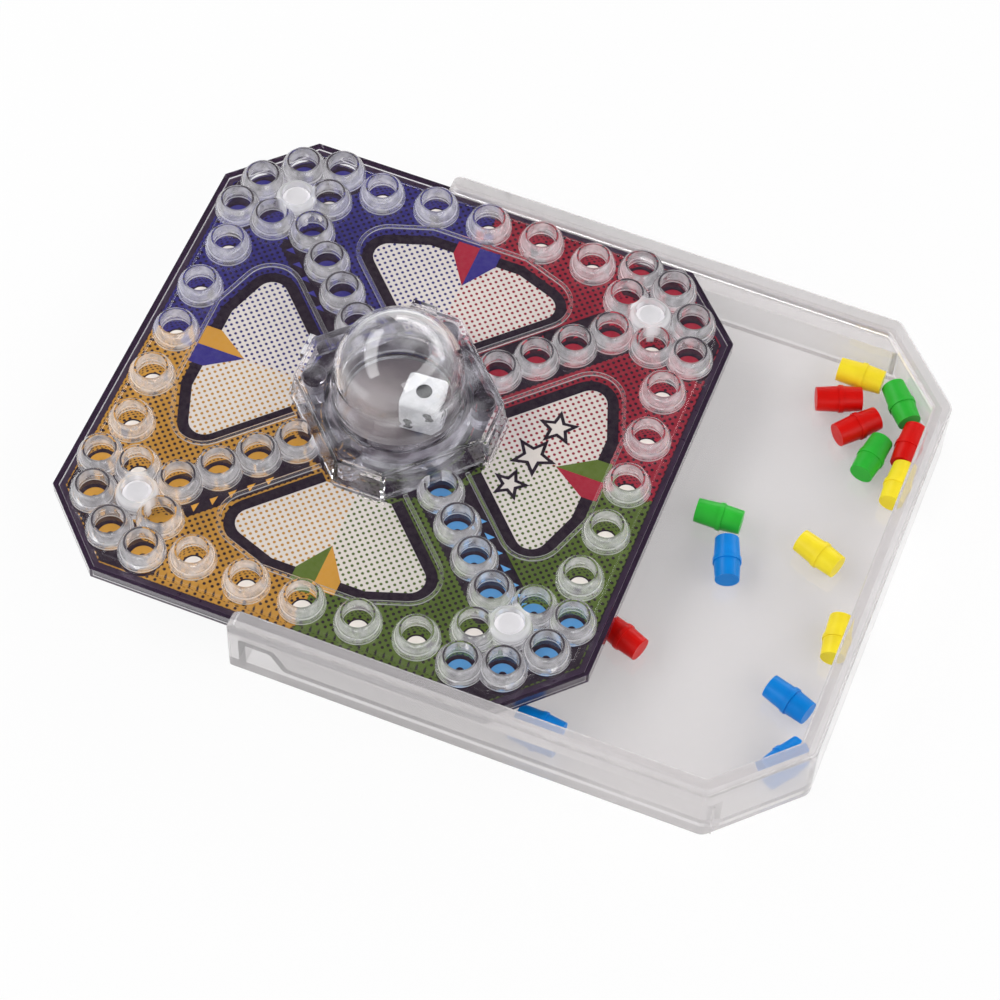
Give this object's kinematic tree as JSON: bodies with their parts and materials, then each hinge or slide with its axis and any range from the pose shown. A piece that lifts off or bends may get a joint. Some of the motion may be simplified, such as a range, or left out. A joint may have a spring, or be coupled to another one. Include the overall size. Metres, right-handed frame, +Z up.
{
  "type": "pop-up dice board game",
  "caption": "Clear travel board game: ringed peg board with a press dome over a die, sliding on an open-ended storage tray that holds loose coloured pegs.",
  "frame": {"origin": "middle of the whole object's footprint with the tray pulled out as stored, on the table", "axes": "+X the way the tray is pulled out, +Y towards the back long side, +Z up"},
  "size_m": [0.17, 0.1254, 0.0439],
  "materials": {
    "clear_tray": "clear moulded, polished",
    "dark_base": "moulded, satin",
    "printed_card": "printed, matt",
    "clear_top": "clear moulded, polished",
    "clear_housing": "clear moulded, polished",
    "clear_dome": "clear moulded, polished",
    "pale_floor": "moulded, matt",
    "spring_steel": "bright rolled",
    "white_die": "polished",
    "frosted_pin": "frosted",
    "peg_yellow": "moulded",
    "peg_red": "moulded",
    "peg_green": "moulded",
    "peg_blue": "moulded"
  },
  "bodies": {
    "tray": {"tray": "clear_tray"},
    "board": {"base_plate": "dark_base", "board_card": "printed_card", "top_plate": "clear_top", "corner_pin_front_right": "frosted_pin", "corner_pin_back_right": "frosted_pin", "corner_pin_back_left": "frosted_pin", "corner_pin_front_left": "frosted_pin", "dome_housing": "clear_housing", "snap_spring": "spring_steel"},
    "popper": {"pop_dome": "clear_dome", "die_floor": "pale_floor"},
    "die": {"die": "white_die"},
    "loose_peg_yellow_1": {"peg_yellow_1": "peg_yellow"},
    "loose_peg_yellow_2": {"peg_yellow_2": "peg_yellow"},
    "loose_peg_yellow_3": {"peg_yellow_3": "peg_yellow"},
    "loose_peg_yellow_4": {"peg_yellow_4": "peg_yellow"},
    "loose_peg_red_1": {"peg_red_1": "peg_red"},
    "loose_peg_red_2": {"peg_red_2": "peg_red"},
    "loose_peg_red_3": {"peg_red_3": "peg_red"},
    "loose_peg_red_4": {"peg_red_4": "peg_red"},
    "loose_peg_green_1": {"peg_green_1": "peg_green"},
    "loose_peg_green_2": {"peg_green_2": "peg_green"},
    "loose_peg_green_3": {"peg_green_3": "peg_green"},
    "loose_peg_green_4": {"peg_green_4": "peg_green"},
    "loose_peg_blue_1": {"peg_blue_1": "peg_blue"},
    "loose_peg_blue_2": {"peg_blue_2": "peg_blue"},
    "loose_peg_blue_3": {"peg_blue_3": "peg_blue"},
    "loose_peg_blue_4": {"peg_blue_4": "peg_blue"}
  },
  "joints": [
    {"name": "board_slide", "type": "slide", "parent": "tray", "child": "board", "axis": [-1, 0, 0], "range_m": [-0.047, 0.02]},
    {"name": "dome_press", "type": "slide", "parent": "board", "child": "popper", "axis": [0, 0, -1], "range_m": [0, 0.0016], "stiffness_N_per_m": 900, "springref_m": -0.0008, "deforming": ["snap_spring"]},
    {"name": "die_hop", "type": "slide", "parent": "popper", "child": "die", "axis": [0, 0, 1], "range_m": [0, 0.008]},
    {"name": "peg_yellow_1_lift", "type": "slide", "parent": "tray", "child": "loose_peg_yellow_1", "axis": [0, 0, 1], "range_m": [0, 0.025]},
    {"name": "peg_yellow_2_slide", "type": "slide", "parent": "tray", "child": "loose_peg_yellow_2", "axis": [0, -1, 0], "range_m": [0, 0.025]},
    {"name": "peg_yellow_3_lift", "type": "slide", "parent": "tray", "child": "loose_peg_yellow_3", "axis": [0, 0, 1], "range_m": [0, 0.025]},
    {"name": "peg_yellow_4_slide", "type": "slide", "parent": "tray", "child": "loose_peg_yellow_4", "axis": [-0.9848, -0.1736, 0], "range_m": [0, 0.025]},
    {"name": "peg_red_1_lift", "type": "slide", "parent": "tray", "child": "loose_peg_red_1", "axis": [0, 0, 1], "range_m": [0, 0.025]},
    {"name": "peg_red_2_lift", "type": "slide", "parent": "tray", "child": "loose_peg_red_2", "axis": [0, 0, 1], "range_m": [0, 0.025]},
    {"name": "peg_red_3_lift", "type": "slide", "parent": "tray", "child": "loose_peg_red_3", "axis": [0, 0, 1], "range_m": [0, 0.005]},
    {"name": "peg_red_4_slide", "type": "slide", "parent": "tray", "child": "loose_peg_red_4", "axis": [1, 0, 0], "range_m": [0, 0.025]},
    {"name": "peg_green_1_lift", "type": "slide", "parent": "tray", "child": "loose_peg_green_1", "axis": [0, 0, 1], "range_m": [0, 0.005]},
    {"name": "peg_green_2_lift", "type": "slide", "parent": "tray", "child": "loose_peg_green_2", "axis": [0, 0, 1], "range_m": [0, 0.025]},
    {"name": "peg_green_3_lift", "type": "slide", "parent": "tray", "child": "loose_peg_green_3", "axis": [0, 0, 1], "range_m": [0, 0.025]},
    {"name": "peg_green_4_slide", "type": "slide", "parent": "tray", "child": "loose_peg_green_4", "axis": [1, 0, 0], "range_m": [0, 0.025]},
    {"name": "peg_blue_1_lift", "type": "slide", "parent": "tray", "child": "loose_peg_blue_1", "axis": [0, 0, 1], "range_m": [0, 0.025]},
    {"name": "peg_blue_2_lift", "type": "slide", "parent": "tray", "child": "loose_peg_blue_2", "axis": [0, 0, 1], "range_m": [0, 0.025]},
    {"name": "peg_blue_3_slide", "type": "slide", "parent": "tray", "child": "loose_peg_blue_3", "axis": [-1, 0, 0], "range_m": [0, 0.03]},
    {"name": "peg_blue_4_slide", "type": "slide", "parent": "tray", "child": "loose_peg_blue_4", "axis": [1, 0, 0], "range_m": [0, 0.025]}
  ]
}
